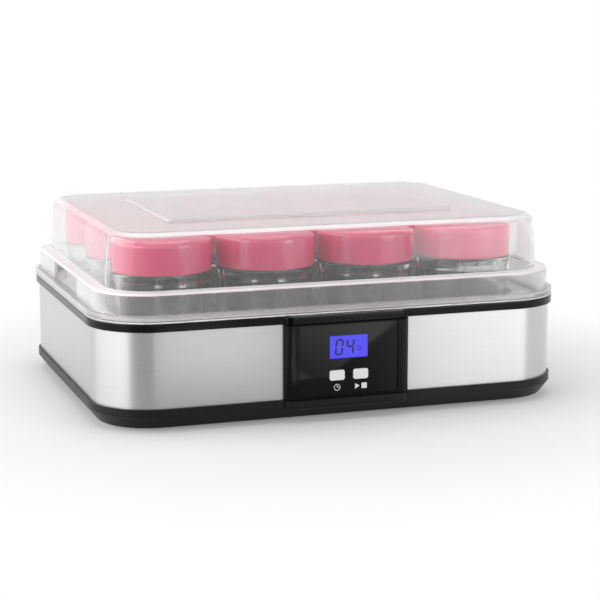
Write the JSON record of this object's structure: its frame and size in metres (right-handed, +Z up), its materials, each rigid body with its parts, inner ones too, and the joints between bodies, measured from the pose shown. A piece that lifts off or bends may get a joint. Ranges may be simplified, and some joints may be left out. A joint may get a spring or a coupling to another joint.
{
  "type": "yogurt maker",
  "caption": "Electric yogurt maker: a steel-banded heated tub with a front control console holds small capped jars under a clear stepped lid.",
  "frame": {"origin": "on the table under the middle of the whole footprint, console included", "axes": "+X to the right of someone facing the console, +Y towards the back, +Z up"},
  "size_m": [0.3444, 0.2722, 0.135],
  "materials": {
    "satin_black": "fine satin moulding",
    "gloss_black": "polished moulding",
    "window_black": "polished cover plate",
    "brushed_steel": "brushed along its length",
    "zinc_steel": "bright zinc",
    "grey_plastic": "satin moulding",
    "sheet_aluminium": "mill finish",
    "cord_silicone": "smooth silicone",
    "crimp_brass": "plain",
    "lead_insulation": "smooth insulation",
    "foot_rubber": "matt rubber",
    "display_blue": "backlit display under glass",
    "white_plastic": "satin moulding",
    "board_green": "solder mask",
    "relay_blue": "moulded case",
    "capacitor_yellow": "moulded case",
    "terminal_green": "moulded case",
    "lid_clear": "clear, lightly frosted moulding",
    "jar_glass": "clear pressed glass",
    "cap_pink": "satin-gloss moulding"
  },
  "bodies": {
    "housing": {"base_tray": "satin_black", "foot_pads": "foot_rubber", "steel_band": "brushed_steel", "top_rim": "gloss_black", "base_screws": "zinc_steel", "inner_tub": "grey_plastic", "heat_plate": "sheet_aluminium", "heater_cord": "cord_silicone", "heater_straps": "sheet_aluminium", "lead_splices": "crimp_brass", "heater_leads": "lead_insulation", "thermal_cutoff": "crimp_brass", "cutoff_clip": "sheet_aluminium", "temperature_sensor": "zinc_steel", "sensor_clip": "sheet_aluminium", "sensor_lead": "lead_insulation", "control_panel": "gloss_black", "panel_window": "window_black", "lcd_glass": "display_blue", "lcd_frame": "white_plastic", "control_board": "board_green", "tact_switches": "satin_black", "board_screws": "zinc_steel", "power_board": "board_green", "power_screws": "zinc_steel", "relay": "relay_blue", "capacitor": "capacitor_yellow", "terminal_block": "terminal_green", "panel_ribbon": "lead_insulation", "cord_gland": "foot_rubber"},
    "lid": {"lid": "lid_clear"},
    "time_button": {"time_button": "white_plastic"},
    "start_button": {"start_button": "white_plastic"},
    "jar_01": {"jar_01": "jar_glass"},
    "cap_01": {"cap_01": "cap_pink"},
    "jar_02": {"jar_02": "jar_glass"},
    "cap_02": {"cap_02": "cap_pink"},
    "jar_03": {"jar_03": "jar_glass"},
    "cap_03": {"cap_03": "cap_pink"},
    "jar_04": {"jar_04": "jar_glass"},
    "cap_04": {"cap_04": "cap_pink"},
    "jar_05": {"jar_05": "jar_glass"},
    "cap_05": {"cap_05": "cap_pink"},
    "jar_06": {"jar_06": "jar_glass"},
    "cap_06": {"cap_06": "cap_pink"},
    "jar_07": {"jar_07": "jar_glass"},
    "cap_07": {"cap_07": "cap_pink"},
    "jar_08": {"jar_08": "jar_glass"},
    "cap_08": {"cap_08": "cap_pink"},
    "jar_09": {"jar_09": "jar_glass"},
    "cap_09": {"cap_09": "cap_pink"},
    "jar_10": {"jar_10": "jar_glass"},
    "cap_10": {"cap_10": "cap_pink"},
    "jar_11": {"jar_11": "jar_glass"},
    "cap_11": {"cap_11": "cap_pink"},
    "jar_12": {"jar_12": "jar_glass"},
    "cap_12": {"cap_12": "cap_pink"}
  },
  "joints": [
    {"name": "lid_lift", "type": "slide", "parent": "housing", "child": "lid", "axis": [0, 0, 1], "range_m": [0, 0.13]},
    {"name": "time_press", "type": "slide", "parent": "housing", "child": "time_button", "axis": [0, 1, 0], "range_m": [0, 0.0007], "stiffness_N_per_m": 1500},
    {"name": "start_press", "type": "slide", "parent": "housing", "child": "start_button", "axis": [0, 1, 0], "range_m": [0, 0.0007], "stiffness_N_per_m": 1500},
    {"name": "jar_01_lift", "type": "slide", "parent": "housing", "child": "jar_01", "axis": [0, 0, 1], "range_m": [0, 0.0045]},
    {"name": "cap_01_turn", "type": "hinge", "parent": "jar_01", "child": "cap_01", "pos_m": [-0.114, -0.0646, 0.1127], "axis": [0, 0, 1], "range_deg": [0, 90]},
    {"name": "jar_02_lift", "type": "slide", "parent": "housing", "child": "jar_02", "axis": [0, 0, 1], "range_m": [0, 0.0045]},
    {"name": "cap_02_turn", "type": "hinge", "parent": "jar_02", "child": "cap_02", "pos_m": [-0.038, -0.0646, 0.1127], "axis": [0, 0, 1], "range_deg": [0, 90]},
    {"name": "jar_03_lift", "type": "slide", "parent": "housing", "child": "jar_03", "axis": [0, 0, 1], "range_m": [0, 0.0045]},
    {"name": "cap_03_turn", "type": "hinge", "parent": "jar_03", "child": "cap_03", "pos_m": [0.038, -0.0646, 0.1127], "axis": [0, 0, 1], "range_deg": [0, 90]},
    {"name": "jar_04_lift", "type": "slide", "parent": "housing", "child": "jar_04", "axis": [0, 0, 1], "range_m": [0, 0.0045]},
    {"name": "cap_04_turn", "type": "hinge", "parent": "jar_04", "child": "cap_04", "pos_m": [0.114, -0.0646, 0.1127], "axis": [0, 0, 1], "range_deg": [0, 90]},
    {"name": "jar_05_lift", "type": "slide", "parent": "housing", "child": "jar_05", "axis": [0, 0, 1], "range_m": [0, 0.0045]},
    {"name": "cap_05_turn", "type": "hinge", "parent": "jar_05", "child": "cap_05", "pos_m": [-0.114, 0.0079, 0.1127], "axis": [0, 0, 1], "range_deg": [0, 90]},
    {"name": "jar_06_lift", "type": "slide", "parent": "housing", "child": "jar_06", "axis": [0, 0, 1], "range_m": [0, 0.0045]},
    {"name": "cap_06_turn", "type": "hinge", "parent": "jar_06", "child": "cap_06", "pos_m": [-0.038, 0.0079, 0.1127], "axis": [0, 0, 1], "range_deg": [0, 90]},
    {"name": "jar_07_lift", "type": "slide", "parent": "housing", "child": "jar_07", "axis": [0, 0, 1], "range_m": [0, 0.0045]},
    {"name": "cap_07_turn", "type": "hinge", "parent": "jar_07", "child": "cap_07", "pos_m": [0.038, 0.0079, 0.1127], "axis": [0, 0, 1], "range_deg": [0, 90]},
    {"name": "jar_08_lift", "type": "slide", "parent": "housing", "child": "jar_08", "axis": [0, 0, 1], "range_m": [0, 0.0045]},
    {"name": "cap_08_turn", "type": "hinge", "parent": "jar_08", "child": "cap_08", "pos_m": [0.114, 0.0079, 0.1127], "axis": [0, 0, 1], "range_deg": [0, 90]},
    {"name": "jar_09_lift", "type": "slide", "parent": "housing", "child": "jar_09", "axis": [0, 0, 1], "range_m": [0, 0.0045]},
    {"name": "cap_09_turn", "type": "hinge", "parent": "jar_09", "child": "cap_09", "pos_m": [-0.114, 0.0804, 0.1127], "axis": [0, 0, 1], "range_deg": [0, 90]},
    {"name": "jar_10_lift", "type": "slide", "parent": "housing", "child": "jar_10", "axis": [0, 0, 1], "range_m": [0, 0.0045]},
    {"name": "cap_10_turn", "type": "hinge", "parent": "jar_10", "child": "cap_10", "pos_m": [-0.038, 0.0804, 0.1127], "axis": [0, 0, 1], "range_deg": [0, 90]},
    {"name": "jar_11_lift", "type": "slide", "parent": "housing", "child": "jar_11", "axis": [0, 0, 1], "range_m": [0, 0.0045]},
    {"name": "cap_11_turn", "type": "hinge", "parent": "jar_11", "child": "cap_11", "pos_m": [0.038, 0.0804, 0.1127], "axis": [0, 0, 1], "range_deg": [0, 90]},
    {"name": "jar_12_lift", "type": "slide", "parent": "housing", "child": "jar_12", "axis": [0, 0, 1], "range_m": [0, 0.0045]},
    {"name": "cap_12_turn", "type": "hinge", "parent": "jar_12", "child": "cap_12", "pos_m": [0.114, 0.0804, 0.1127], "axis": [0, 0, 1], "range_deg": [0, 90]}
  ]
}
